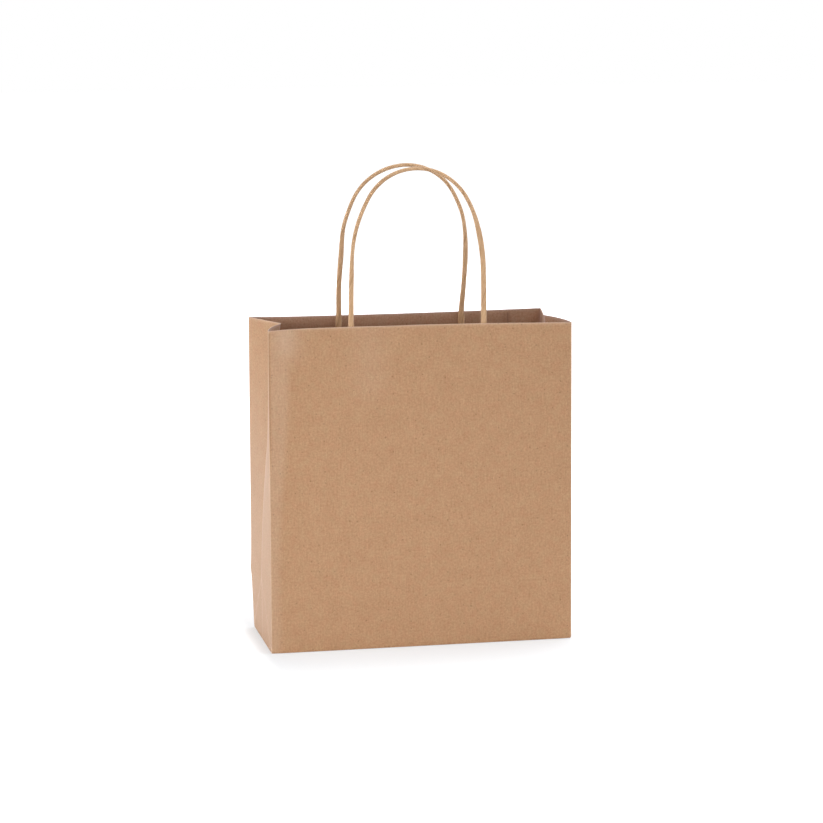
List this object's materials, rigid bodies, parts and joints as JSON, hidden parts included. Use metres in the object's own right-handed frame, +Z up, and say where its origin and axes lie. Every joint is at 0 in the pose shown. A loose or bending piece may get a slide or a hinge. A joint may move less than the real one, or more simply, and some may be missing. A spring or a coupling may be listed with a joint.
{
  "type": "gift bag",
  "caption": "Block-bottom paper gift bag with folded side gussets, an open mouth bowed inwards, and two twisted paper cord handles that swing.",
  "frame": {"origin": "middle of the base, on the table the bag stands on", "axes": "+X along the front panel, to the right for someone facing it; +Y from the front panel to the back panel; +Z up"},
  "size_m": [0.22, 0.09, 0.3417],
  "materials": {
    "kraft_paper": "uncoated brown kraft, matt",
    "patch_paper": "uncoated brown kraft, matt",
    "twisted_cord": "twisted kraft paper cord, matt"
  },
  "bodies": {
    "bag": {"front_panel": "kraft_paper", "back_panel": "kraft_paper", "seam_flap": "kraft_paper", "left_gusset_front": "kraft_paper", "left_gusset_back": "kraft_paper", "left_gusset_foot": "kraft_paper", "right_gusset_front": "kraft_paper", "right_gusset_back": "kraft_paper", "right_gusset_foot": "kraft_paper", "left_end_flap": "kraft_paper", "right_end_flap": "kraft_paper", "front_bottom_flap": "kraft_paper", "back_bottom_flap": "kraft_paper", "front_patch_base": "patch_paper", "front_patch_cover": "patch_paper", "back_patch_base": "patch_paper", "back_patch_cover": "patch_paper", "front_cord_tail_left": "twisted_cord", "front_cord_tail_right": "twisted_cord", "front_cord_bend_left": "twisted_cord", "front_cord_bend_right": "twisted_cord", "back_cord_tail_left": "twisted_cord", "back_cord_tail_right": "twisted_cord", "back_cord_bend_left": "twisted_cord", "back_cord_bend_right": "twisted_cord"},
    "front_handle": {"front_cord_loop": "twisted_cord"},
    "back_handle": {"back_cord_loop": "twisted_cord"}
  },
  "joints": [
    {"name": "front_handle_swing", "type": "hinge", "parent": "bag", "child": "front_handle", "pos_m": [0.0002, -0.0333, 0.23625], "axis": [1, 0, 0], "range_deg": [-16, 176], "stiffness_Nm_per_rad": 0.03, "deforming": ["front_cord_bend_left", "front_cord_bend_right"]},
    {"name": "back_handle_swing", "type": "hinge", "parent": "bag", "child": "back_handle", "pos_m": [0.0018, 0.0412, 0.23625], "axis": [-1, 0, 0], "range_deg": [-9, 176], "stiffness_Nm_per_rad": 0.03, "deforming": ["back_cord_bend_left", "back_cord_bend_right"]}
  ]
}
